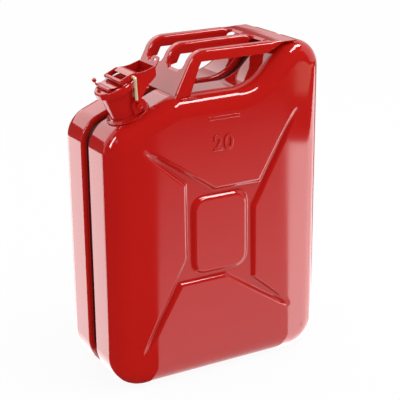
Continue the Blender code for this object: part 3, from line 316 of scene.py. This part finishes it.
def pressing_blank(sizes):
    """One pressing without its cross: outline, rounded rim and seam groove."""
    front = -sizes.depth / 2
    back = -(sizes.groove_half + GROOVE_CHAMFER)
    half = sizes.width / 2
    bpy.ops.object.select_all(action="DESELECT")
    bpy.ops.mesh.primitive_cube_add(size=1, location=(0, (front + back) / 2, sizes.recess / 2),
                                    scale=(sizes.width, back - front, sizes.recess))
    shell = started("front_pressing")
    bpy.ops.object.mode_set(mode="EDIT")
    for x in (SHOULDER_X, RISE_X):
        bpy.ops.mesh.select_all(action="SELECT")
        bpy.ops.mesh.bisect(plane_co=(x, 0, 0), plane_no=(1, 0, 0))
    pick(shell, "FACE", lambda f: f.normal.z > 0.9 and f.calc_center_median().x > RISE_X)
    bpy.ops.mesh.extrude_region_move(TRANSFORM_OT_translate={"value": (0, 0, sizes.hump - sizes.recess)})
    pick(shell, "VERT", lambda v: near(v.co.z, sizes.hump) and near(v.co.x, RISE_X))
    bpy.ops.transform.translate(value=(HUMP_X - RISE_X, 0, 0))
    drop = (half + SHOULDER_X) * math.tan(NECK_TILT)
    pick(shell, "VERT", lambda v: near(v.co.z, sizes.recess) and near(v.co.x, -half))
    bpy.ops.transform.translate(value=(0, 0, -drop))
    bpy.ops.mesh.select_all(action="SELECT")
    bpy.ops.mesh.dissolve_limited(angle_limit=math.radians(0.5))
    rise = math.atan2(sizes.hump - sizes.recess, HUMP_X - RISE_X)
    quarter = math.pi / 2
    for x, z, radius, turn, steps in ((-half, 0, 0.050, quarter, 14), (half, 0, 0.045, quarter, 14),
                                      (half, sizes.hump, 0.038, quarter, 14),
                                      (HUMP_X, sizes.hump, 0.030, rise, 10),
                                      (RISE_X, sizes.recess, 0.058, rise, 12),
                                      (SHOULDER_X, sizes.recess, 0.030, NECK_TILT, 6),
                                      (-half, sizes.recess - drop, 0.040, quarter - NECK_TILT, 12)):
        round_corner(shell, x, z, radius, turn, steps)
    pick(shell, "FACE", lambda f: f.normal.y > 0.9)
    bpy.ops.mesh.inset(thickness=sizes.groove - GROOVE_CHAMFER, depth=0)
    bpy.ops.mesh.inset(thickness=GROOVE_CHAMFER, depth=GROOVE_CHAMFER)
    to_seam = -back - GROOVE_CHAMFER - SEAM_GAP
    bpy.ops.mesh.extrude_region_move(TRANSFORM_OT_translate={"value": (0, to_seam, 0)})
    bpy.ops.mesh.delete(type="FACE")
    pick(shell, "EDGE", lambda e: near(middle(e).y, back) and len(e.link_faces) == 2
         and min(abs(f.normal.y) for f in e.link_faces) < 0.1
         and max(f.normal.y for f in e.link_faces) > 0.9)
    bpy.ops.mesh.bevel(offset=GROOVE_LIP, segments=7, profile=0.5, affect="EDGES", clamp_overlap=False)
    pick(shell, "EDGE", lambda e: near(middle(e).y, front) and len(e.link_faces) == 2
         and min(abs(f.normal.y) for f in e.link_faces) < 0.1)
    bpy.ops.mesh.bevel(offset=sizes.edge, segments=12, profile=0.5, affect="EDGES", clamp_overlap=False)
    pick(shell, "FACE", lambda f: f.normal.y < -0.99 and len(f.verts) > 20)
    face_border = 0.002
    bpy.ops.mesh.inset(thickness=face_border, depth=0)
    bpy.ops.mesh.delete(type="FACE")
    bpy.ops.object.mode_set(mode="OBJECT")
    return shell


def cross_panel(sizes, shell):
    """Fine grid laid over the solid's pressed cross, its steps rounded."""
    front = -sizes.depth / 2
    size, centre = CROSS_HIGH - CROSS_LOW, (CROSS_LOW + CROSS_HIGH) / 2
    ahead = 0.001
    bpy.ops.object.select_all(action="DESELECT")
    bpy.ops.mesh.primitive_grid_add(x_subdivisions=int(size.x / CROSS_CELL),
                                    y_subdivisions=int(size.y / CROSS_CELL), size=1,
                                    location=(centre.x, front - ahead, centre.y),
                                    rotation=(math.pi / 2, 0, 0))
    bpy.context.active_object.scale = (size.x, size.y, 1)
    panel = started("cross_panel")
    rim = [Vector((v.co.x, v.co.z)) for v in shell.data.vertices if near(v.co.y, front, 1e-5)]
    margin = 0.006
    safe_left, safe_top, hump_left, under_shoulder = -0.07, 0.37, 0.07, 0.034

    def outside(face):
        """Whether a face of the grid lies past the flat part of the pressing or close to its rim."""
        x, _, z = face.calc_center_median()
        if x > safe_left and z < safe_top:
            return False
        if z > sizes.recess - sizes.edge - margin and x < hump_left:
            return True
        shoulder = sizes.recess - (SHOULDER_X - x) * math.tan(NECK_TILT)
        if x < SHOULDER_X and z > shoulder - under_shoulder:
            return True
        place = Vector((x, z))
        return min((place - p).length for p in rim) < margin

    bpy.ops.object.mode_set(mode="EDIT")
    pick(panel, "FACE", outside)
    bpy.ops.mesh.delete(type="FACE")
    bpy.ops.object.mode_set(mode="OBJECT")
    apply_modifier(panel, "SHRINKWRAP", target=frame["nodes"]["front_shell"], wrap_method="PROJECT",
                   use_project_x=False, use_project_y=True, use_project_z=False, use_negative_direction=True,
                   use_positive_direction=True, project_limit=0.02)
    # Each step of the cross becomes an S-shaped slope of the same height
    for vert in panel.data.vertices:
        share = min(max((vert.co.y - front) / sizes.cross, 0), 1)
        vert.co.y = front + sizes.cross * share ** 3 * (10 - 15 * share + 6 * share * share)
    return panel


def shade_groove(pressing, sizes):
    """Paint shade on the bottom of the seam groove with the near-black seam material, and leave its walls
    red.
    """
    pressing.data.materials.append(FINISHES["seam_painted_shade"])
    wall = sizes.groove_half + GROOVE_CHAMFER
    for face in pressing.data.polygons:
        # Faces near the seam plane lie at the groove's bottom and take the painted shade
        if abs(face.center.y) < wall - CLOSE:
            face.material_index = 1


class FUELCAN_OT_shells(Operator):
    """Press the near and the far shell"""
    bl_idname = "fuelcan.shells"
    bl_label = "Press shells"

    def execute(self, context):
        sizes = context.scene.can_sizes
        front = -sizes.depth / 2
        shell = pressing_blank(sizes)
        panel = cross_panel(sizes, shell)
        only(panel, shell)
        bpy.ops.object.join()
        bpy.ops.object.mode_set(mode="EDIT")
        pick(shell, "EDGE", lambda e: e.is_boundary and near(middle(e).y, front, 0.0009))
        bpy.ops.mesh.fill(use_beauty=True)
        bpy.ops.mesh.select_all(action="SELECT")
        bpy.ops.mesh.remove_doubles(threshold=1e-6)
        bpy.ops.mesh.normals_make_consistent(inside=False)
        form = bmesh.from_edit_mesh(shell.data)
        form.faces.ensure_lookup_table()
        face = min(form.faces, key=lambda f: (f.calc_center_median() - Vector((0, front, 0.212))).length)
        if face.normal.y > 0:
            bpy.ops.mesh.flip_normals()
        bpy.ops.object.mode_set(mode="OBJECT")
        apply_modifier(shell, "SOLIDIFY", thickness=sizes.sheet, offset=-1, use_even_offset=False)
        far = shell.copy()
        far.data = shell.data.copy()
        far.name = "rear_pressing"
        far.data.name = "rear_pressing"
        context.collection.objects.link(far)
        only(far)
        bpy.ops.object.mode_set(mode="EDIT")
        bpy.ops.mesh.select_all(action="SELECT")
        bpy.ops.transform.resize(value=(1, -1, 1), center_override=(0, 0, 0))
        bpy.ops.mesh.flip_normals()
        bpy.ops.object.mode_set(mode="OBJECT")
        bpy.ops.object.select_all(action="DESELECT")
        bpy.ops.mesh.primitive_cylinder_add(vertices=64, radius=NECK_HOLE, depth=0.05, location=NECK_FOOT,
                                            rotation=(0, -NECK_TILT, 0))
        drill = started("neck_drill")
        apply_modifier(shell, "BOOLEAN", object=drill, operation="DIFFERENCE", solver="EXACT")
        bpy.data.objects.remove(drill, do_unlink=True)
        for pressing in (shell, far):
            finish_piece(pressing, "red_enamel", "can", angle=50)
            # The bottom of the seam groove gets painted shade
            shade_groove(pressing, sizes)
        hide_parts("front_shell")
        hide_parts("rear_shell")
        return {"FINISHED"}


# Pieces whose solids are close to the real ones

def dressed(node, name, finish, width=0.0003, steps=2, angle=38, limit=30, shade=None):
    """A merged copy of a solid with its edges broken."""
    source = frame["nodes"][node]
    piece = bpy.data.objects.new(name, source.data.copy())
    piece.data.name = name
    bpy.context.collection.objects.link(piece)
    only(piece)
    bpy.ops.object.mode_set(mode="EDIT")
    bpy.ops.mesh.select_all(action="SELECT")
    bpy.ops.mesh.remove_doubles(threshold=5e-6)
    bpy.ops.mesh.dissolve_limited(angle_limit=math.radians(0.4))
    bpy.ops.object.mode_set(mode="OBJECT")
    if width:
        apply_modifier(piece, "BEVEL", width=width, segments=steps, limit_method="ANGLE",
                       angle_limit=math.radians(limit), use_clamp_overlap=True)
    finish_piece(piece, finish, BODIES[node], angle=angle, shade=shade)
    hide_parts(node)
    return piece


class FUELCAN_OT_bars(Operator):
    """Dress the carrying bars"""
    bl_idname = "fuelcan.bars"
    bl_label = "Dress bars"

    def execute(self, context):
        dressed("triple_handle", "carrying_bars", "red_enamel", width=0.0009, steps=3, angle=45)
        # The seam bead at the groove's bottom takes the painted shade, not the enamel
        dressed("seam_weld", "seam_bead", "red_enamel", width=0, angle=60, shade="seam_painted_shade")
        return {"FINISHED"}


class FUELCAN_OT_neck(Operator):
    """Dress the neck, its collar, lugs and hinge"""
    bl_idname = "fuelcan.neck"
    bl_label = "Dress neck"

    def execute(self, context):
        for node, name in (("filler_neck", "pouring_neck"), ("neck_collar", "neck_foot"),
                           ("latch_lug_near", "near_lug"), ("latch_lug_far", "far_lug"),
                           ("latch_pin_near", "near_lug_pin"), ("latch_pin_far", "far_lug_pin"),
                           ("cap_hinge_bracket", "hinge_cheeks"), ("cap_hinge_pin", "hinge_rod")):
            dressed(node, name, "red_enamel")
        dressed("breather_tube", "air_tube", "bare_steel", width=0)
        dressed("breather_clip", "air_tube_clip", "bare_steel")
        return {"FINISHED"}


class FUELCAN_OT_closure(Operator):
    """Dress the cap, strap, lever and locking pin"""
    bl_idname = "fuelcan.closure"
    bl_label = "Dress closure"

    def execute(self, context):
        for node, name in (("cap", "cap_cup"), ("cap_strap", "strap"), ("strap_knob_pin", "knob_pin"),
                           ("lever_knuckle", "cross_tube"), ("lever_pin", "lever_rod"),
                           ("lever_bridge", "bridge_plate"), ("lever", "cam_lever"),
                           ("lever_tab", "thumb_tab")):
            dressed(node, name, "red_enamel")
        dressed("cap_gasket", "cap_ring", "rubber")
        wire = dressed("locking_pin", "wire_pin", "zinc", width=0, angle=60)
        only(wire)
        bpy.ops.object.mode_set(mode="EDIT")
        bpy.ops.mesh.select_all(action="SELECT")
        extra = 0.0006
        bpy.ops.transform.shrink_fatten(value=extra)
        bpy.ops.object.mode_set(mode="OBJECT")
        return {"FINISHED"}


# Welds

def weld_bead(name, points, radius, step):
    """A hand-laid bead of overlapping drops along a line of points."""
    path = [Vector(p) for p in points]
    drops = []
    for start, end in zip(path, path[1:]):
        count = max(1, round((end - start).length / step))
        drops += [start.lerp(end, i / count) for i in range(count)]
    drops.append(path[-1])
    bpy.ops.object.select_all(action="DESELECT")
    made = []
    for i, place in enumerate(drops):
        size = radius * (1 + 0.16 * math.sin(2.3 * i) + 0.08 * math.sin(5.1 * i))
        bpy.ops.mesh.primitive_ico_sphere_add(subdivisions=3, radius=size, location=place)
        made.append(bpy.context.active_object)
    only(*made)
    bpy.ops.object.join()
    bead = started(name)
    apply_modifier(bead, "REMESH", mode="VOXEL", voxel_size=0.0005)
    apply_modifier(bead, "SMOOTH", factor=0.5, iterations=4)
    return finish_piece(bead, "red_enamel", "can", angle=60)


class FUELCAN_OT_welds(Operator):
    """Lay the weld beads of the handle and the neck"""
    bl_idname = "fuelcan.welds"
    bl_label = "Lay welds"

    def execute(self, context):
        low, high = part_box("triple_handle")
        proud = 0.0012
        for name, side in (("near_foot_weld", low.y - proud), ("far_foot_weld", high.y + proud)):
            weld_bead(name, [(-0.053, side, 0.4072), (-0.043, side, 0.4078), (-0.034, side, 0.4078)],
                      radius=0.0026, step=0.0036)
        across = Vector((math.cos(NECK_TILT), 0, math.sin(NECK_TILT)))
        low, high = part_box("neck_collar")
        ring = (high.y - low.y) / 2 + CLOSE
        lift, steps = 0.0009, 48
        centre = NECK_FOOT + NECK_AXIS * lift
        turns = [2 * math.pi * i / steps for i in range(steps + 1)]
        points = [centre + ring * (across * math.cos(a) + Vector((0, math.sin(a), 0))) for a in turns]
        weld_bead("neck_weld", points, radius=0.0011, step=0.0018)
        return {"FINISHED"}


# Marks on the near face

NUMBER_PLACE = (0.0035, 0.3325)
NUMBER_SIZE = 0.0305
NUMBER_RAISE = 0.0014
BAR_PLACE = (0.0055, 0.378)
BAR_SIZE = (0.049, 0.0022, 0.0052)


class FUELCAN_OT_marks(Operator):
    """Raise a plain number and a bar on the near face"""
    bl_idname = "fuelcan.marks"
    bl_label = "Raise marks"

    number: StringProperty(name="Number", description="Plain number on the face", default="20")

    def execute(self, context):
        front = -context.scene.can_sizes.depth / 2
        bpy.ops.object.select_all(action="DESELECT")
        x, z = NUMBER_PLACE
        bpy.ops.object.text_add(location=(x, front + 0.0004, z), rotation=(math.pi / 2, 0, 0))
        words = context.active_object
        words.data.body = self.number
        words.data.size = NUMBER_SIZE
        words.data.align_x = "CENTER"
        words.data.space_character = 1.1
        words.data.extrude = NUMBER_RAISE
        words.data.bevel_depth = 0.0007
        words.data.bevel_resolution = 2
        bpy.ops.object.convert(target="MESH")
        mark = started("raised_number")
        finish_piece(mark, "red_enamel", "can")
        bpy.ops.object.select_all(action="DESELECT")
        x, z = BAR_PLACE
        bpy.ops.mesh.primitive_cube_add(size=1, location=(x, front, z), scale=BAR_SIZE)
        bar = started("raised_bar")
        apply_modifier(bar, "BEVEL", width=0.0008, segments=3, limit_method="ANGLE")
        finish_piece(bar, "red_enamel", "can")
        return {"FINISHED"}


# Stage

DARK = 0.05
DIM = 0.1


def background_rays(tree):
    """A mask of the rays that show the background: from the camera, off gloss and through glass."""
    rays = add(tree, "ShaderNodeLightPath", (-700, 300))
    first = add(tree, "ShaderNodeMath", (-500, 300), operation="MAXIMUM")
    second = add(tree, "ShaderNodeMath", (-300, 300), operation="MAXIMUM")
    tree.links.new(rays.outputs["Is Camera Ray"], first.inputs[0])
    tree.links.new(rays.outputs["Is Glossy Ray"], first.inputs[1])
    tree.links.new(first.outputs["Value"], second.inputs[0])
    tree.links.new(rays.outputs["Is Transmission Ray"], second.inputs[1])
    return second.outputs["Value"]


def stage_floor():
    """The pale floor, which keeps the object's shadow."""
    bpy.ops.object.select_all(action="DESELECT")
    bpy.ops.mesh.primitive_plane_add(size=30, location=(0, 0, 0))
    floor = started("studio_floor")
    made, tree, shader = new_finish("studio_white")
    shader.inputs["Base Color"].default_value = (0.92, 0.92, 0.92, 1)
    shader.inputs["Roughness"].default_value = 0.9
    shader.inputs["Specular IOR Level"].default_value = 0.0
    glow = add(tree, "ShaderNodeEmission", (0, -400), Strength=1.0)
    part = add(tree, "ShaderNodeMath", (100, 300), operation="MULTIPLY")
    glow_share = 0.93
    part.inputs[1].default_value = glow_share
    mix = add(tree, "ShaderNodeMixShader", (300, 0))
    tree.links.new(background_rays(tree), part.inputs[0])
    tree.links.new(part.outputs["Value"], mix.inputs["Fac"])
    tree.links.new(shader.outputs["BSDF"], mix.inputs[1])
    tree.links.new(glow.outputs["Emission"], mix.inputs[2])
    tree.links.new(mix.outputs["Shader"], tree.nodes["Material Output"].inputs["Surface"])
    floor.data.materials.append(made)


def stage_world(scene):
    """Even white air, at full strength only where it is seen."""
    world = bpy.data.worlds.new("studio_air")
    world.use_nodes = True
    tree = world.node_tree
    tree.nodes.clear()
    plain = add(tree, "ShaderNodeBackground", (-200, 0), Strength=0.9, Color=(1, 1, 1, 1))
    white = add(tree, "ShaderNodeBackground", (-200, -150), Strength=1.0, Color=(1, 1, 1, 1))
    mix = add(tree, "ShaderNodeMixShader", (0, 0))
    out = add(tree, "ShaderNodeOutputWorld", (200, 0))
    tree.links.new(background_rays(tree), mix.inputs["Fac"])
    tree.links.new(plain.outputs["Background"], mix.inputs[1])
    tree.links.new(white.outputs["Background"], mix.inputs[2])
    tree.links.new(mix.outputs["Shader"], out.inputs["Surface"])
    scene.world = world


def stage_camera(context):
    """The camera at the photograph's place, turned by its small roll."""
    eye = bpy.data.cameras.new("photo_camera")
    eye.lens = 105.3
    eye.sensor_width = 36
    eye.clip_end = 50
    camera = bpy.data.objects.new("photo_camera", eye)
    camera.location = (-0.7744, -1.3930, 0.7938)
    aim = Vector((0.0102, 0, 0.235)) - camera.location
    roll = Quaternion((0, 0, 1), math.radians(-0.47))
    camera.rotation_mode = "QUATERNION"
    camera.rotation_quaternion = aim.to_track_quat("-Z", "Y") @ roll
    context.collection.objects.link(camera)
    context.scene.camera = camera


def softbox(name, place, aim, size, radiance):
    """A rectangular lamp at place that looks at aim, as bright all over as its radiance says."""
    lamp = bpy.data.lights.new(name, "AREA")
    lamp.shape = "RECTANGLE"
    lamp.size, lamp.size_y = size
    lamp.energy = radiance * math.pi * size[0] * size[1]
    thing = bpy.data.objects.new(name, lamp)
    thing.location = place
    thing.rotation_euler = (Vector(aim) - Vector(place)).to_track_quat("-Z", "Y").to_euler()
    bpy.context.collection.objects.link(thing)
    return thing


def studio_card(name, corners, glow, fall=0.0, tint=(1, 1, 1)):
    """A flat card that only gloss shows: dark ones keep light off it, pale ones brighten it.

    With a fall, the glow changes by that much for each metre along Y, down to the dimmest card's.
    """
    bpy.ops.object.select_all(action="DESELECT")
    bpy.ops.mesh.primitive_plane_add(size=1, location=(0, 0, 0))
    card = started(name)
    for vert, corner in zip((card.data.vertices[i] for i in (0, 1, 3, 2)), corners):
        vert.co = corner
    made = bpy.data.materials.new(name)
    made.use_nodes = True
    tree = made.node_tree
    tree.nodes.clear()
    light = add(tree, "ShaderNodeEmission", (0, 0), Strength=glow, Color=(*tint, 1))
    out = add(tree, "ShaderNodeOutputMaterial", (200, 0))
    tree.links.new(light.outputs["Emission"], out.inputs["Surface"])
    if fall:
        place = add(tree, "ShaderNodeTexCoord", (-800, 0))
        parts = add(tree, "ShaderNodeSeparateXYZ", (-600, 0))
        slope = add(tree, "ShaderNodeMath", (-400, 0), operation="MULTIPLY_ADD")
        slope.inputs[1].default_value = fall
        slope.inputs[2].default_value = glow
        least = add(tree, "ShaderNodeMath", (-200, 0), operation="MAXIMUM")
        least.inputs[1].default_value = DARK
        tree.links.new(place.outputs["Object"], parts.inputs["Vector"])
        tree.links.new(parts.outputs["Y"], slope.inputs[0])
        tree.links.new(slope.outputs["Value"], least.inputs[0])
        tree.links.new(least.outputs["Value"], light.inputs["Strength"])
    card.data.materials.append(made)
    card.visible_camera = False
    card.visible_diffuse = False
    card.visible_transmission = False
    card.visible_shadow = False
    return card


def floor_card(name, corners, glow, rise, fall=0.0, tint=(1, 1, 1)):
    """A card that lies just over the floor; where two overlap, the one that rises more shows."""
    studio_card(name, [(x, y, rise) for x, y in corners], glow, fall, tint)


def wall_card(name, low, high, glow):
    """An upright or level rectangle between two opposite corners."""
    flat = [i for i in range(3) if low[i] == high[i]][0]
    first, second = (i for i in range(3) if i != flat)
    corners = []
    for u, v in ((low[first], low[second]), (high[first], low[second]),
                 (high[first], high[second]), (low[first], high[second])):
        corner = list(low)
        corner[first] = u
        corner[second] = v
        corners.append(corner)
    studio_card(name, corners, glow)


class FUELCAN_OT_stage(Operator):
    """Set the floor, the lamp, the cards, the world and the camera"""
    bl_idname = "fuelcan.stage"
    bl_label = "Set stage"

    def execute(self, context):
        stage_floor()
        long, wide = 1.7, 0.26
        key = softbox("key_softbox", (0.72, -0.65, 1.85), (0, 0, 0.35), (long, wide), 9)
        turn = key.rotation_euler.to_matrix()
        ahead = -0.02
        studio_card("key_front", [key.location + turn @ Vector((x * long / 2, y * wide / 2, ahead))
                                  for x, y in ((-1, -1), (1, -1), (1, 1), (-1, 1))], 18)
        floor_card("table", [(-0.6, -1.45), (2.5, -1.45), (2.5, -0.02), (-0.6, -0.02)], 1.75, 0.001, fall=1.2)
        for name, corners, glow, rise in (
                ("bright_right", [(0.055, 0.014), (0.724, -0.992), (2.2, -0.1), (1.4, 0.8)], 5.6, 0.0015),
                ("dark_far", [(0.724, -0.992), (6, 2.3), (6, -6), (4.05, -6)], DARK, 0.002),
                ("dark_farther", [(-4, -6), (6, -6), (6, -1.44), (-4, -1.44)], DARK, 0.002),
                ("dark_left", [(-4, -5), (1.4, -2.95), (-0.12, -0.045), (-4, -0.045)], DARK, 0.0025),
                ("dark_side", [(-4, -0.05), (-0.15, -0.05), (-2.3, 2.2), (-4, 2.2)], DARK, 0.0025),
                ("bright_left", [(-2.3, 2.2), (-0.15, -0.04), (-0.15, 3.0), (-2.3, 3.0)], 3.1, 0.0015),
                ("dark_back_floor", [(-3.6, 1.4), (0.2, 1.4), (0.2, 3.25), (-3.6, 3.25)], DIM, 0.003),
                ("edge_right", [(0.17, 0.02), (2.2, 0.35), (2.2, 2.5), (0.17, 2.5)], 0.5, 0.0022),
                ("soft_right", [(0.17, -0.06), (1.1, -0.56), (2.2, -0.1), (1.4, 0.8)], 4.2, 0.0018)):
            floor_card(name, corners, glow, rise)
        floor_card("pale_hump", [(1.0, -1.37), (1.34, -1.87), (3.5, -1.6), (3.0, -0.6)], 1.5, 0.0028,
                   tint=(1.0, 0.8, 0.6))
        for name, low, high, glow in (("dark_room", (-6, -4.5, 0), (6, -4.5, 5), DARK),
                                      ("dark_wall", (-4.5, -4.5, 0), (-4.5, 2.3, 3.8), DARK),
                                      ("dark_ceiling", (-4, -4.5, 4.5), (4, 1.5, 4.5), DARK),
                                      ("back_low", (-2.7, 3.2, 1.1), (0.2, 3.2, 1.75), 2.6),
                                      ("back_high", (-2.7, 3.2, 1.75), (1.0, 3.2, 3.4), 2.5),
                                      ("dark_band", (-3.6, 3.25, 0), (0.2, 3.25, 1.1), DIM),
                                      ("left_strip", (-3.2, -0.5, 1.45), (-3.2, 0.1, 4.2), 18),
                                      ("dark_back", (1.0, 5, 0), (7, 5, 1.55), DIM)):
            wall_card(name, low, high, glow)
        stage_world(context.scene)
        stage_camera(context)
        context.scene.view_settings.view_transform = "Standard"
        return {"FINISHED"}


class FUELCAN_PT_panel(Panel):
    """Sizes, colours and steps of the fuel can"""
    bl_idname = "FUELCAN_PT_panel"
    bl_label = "Fuel Can"
    bl_space_type = "VIEW_3D"
    bl_region_type = "UI"
    bl_category = "Fuel Can"

    def draw(self, context):
        for group in (context.scene.can_sizes, context.scene.can_colours):
            box = self.layout.box()
            for name in type(group).__annotations__:
                box.prop(group, name)
        for step in STEPS:
            self.layout.operator(step.bl_idname)


STEPS = (FUELCAN_OT_finishes, FUELCAN_OT_shells, FUELCAN_OT_bars, FUELCAN_OT_neck, FUELCAN_OT_closure,
         FUELCAN_OT_welds, FUELCAN_OT_marks, FUELCAN_OT_stage)
CLASSES = (CanSizes, CanColours) + STEPS + (FUELCAN_PT_panel,)


def register():
    """Register the add-on's classes and its two property groups."""
    for kind in CLASSES:
        bpy.utils.register_class(kind)
    bpy.types.Scene.can_sizes = PointerProperty(type=CanSizes)
    bpy.types.Scene.can_colours = PointerProperty(type=CanColours)


def unregister():
    """Undo what register did."""
    del bpy.types.Scene.can_colours
    del bpy.types.Scene.can_sizes
    for kind in reversed(CLASSES):
        bpy.utils.unregister_class(kind)


def main():
    """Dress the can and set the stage."""
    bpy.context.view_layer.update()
    register()
    bpy.ops.fuelcan.finishes()
    bpy.ops.fuelcan.shells()
    bpy.ops.fuelcan.bars()
    bpy.ops.fuelcan.neck()
    bpy.ops.fuelcan.closure()
    bpy.ops.fuelcan.welds()
    bpy.ops.fuelcan.marks()
    bpy.ops.fuelcan.stage()


if __name__ == "__main__":
    main()
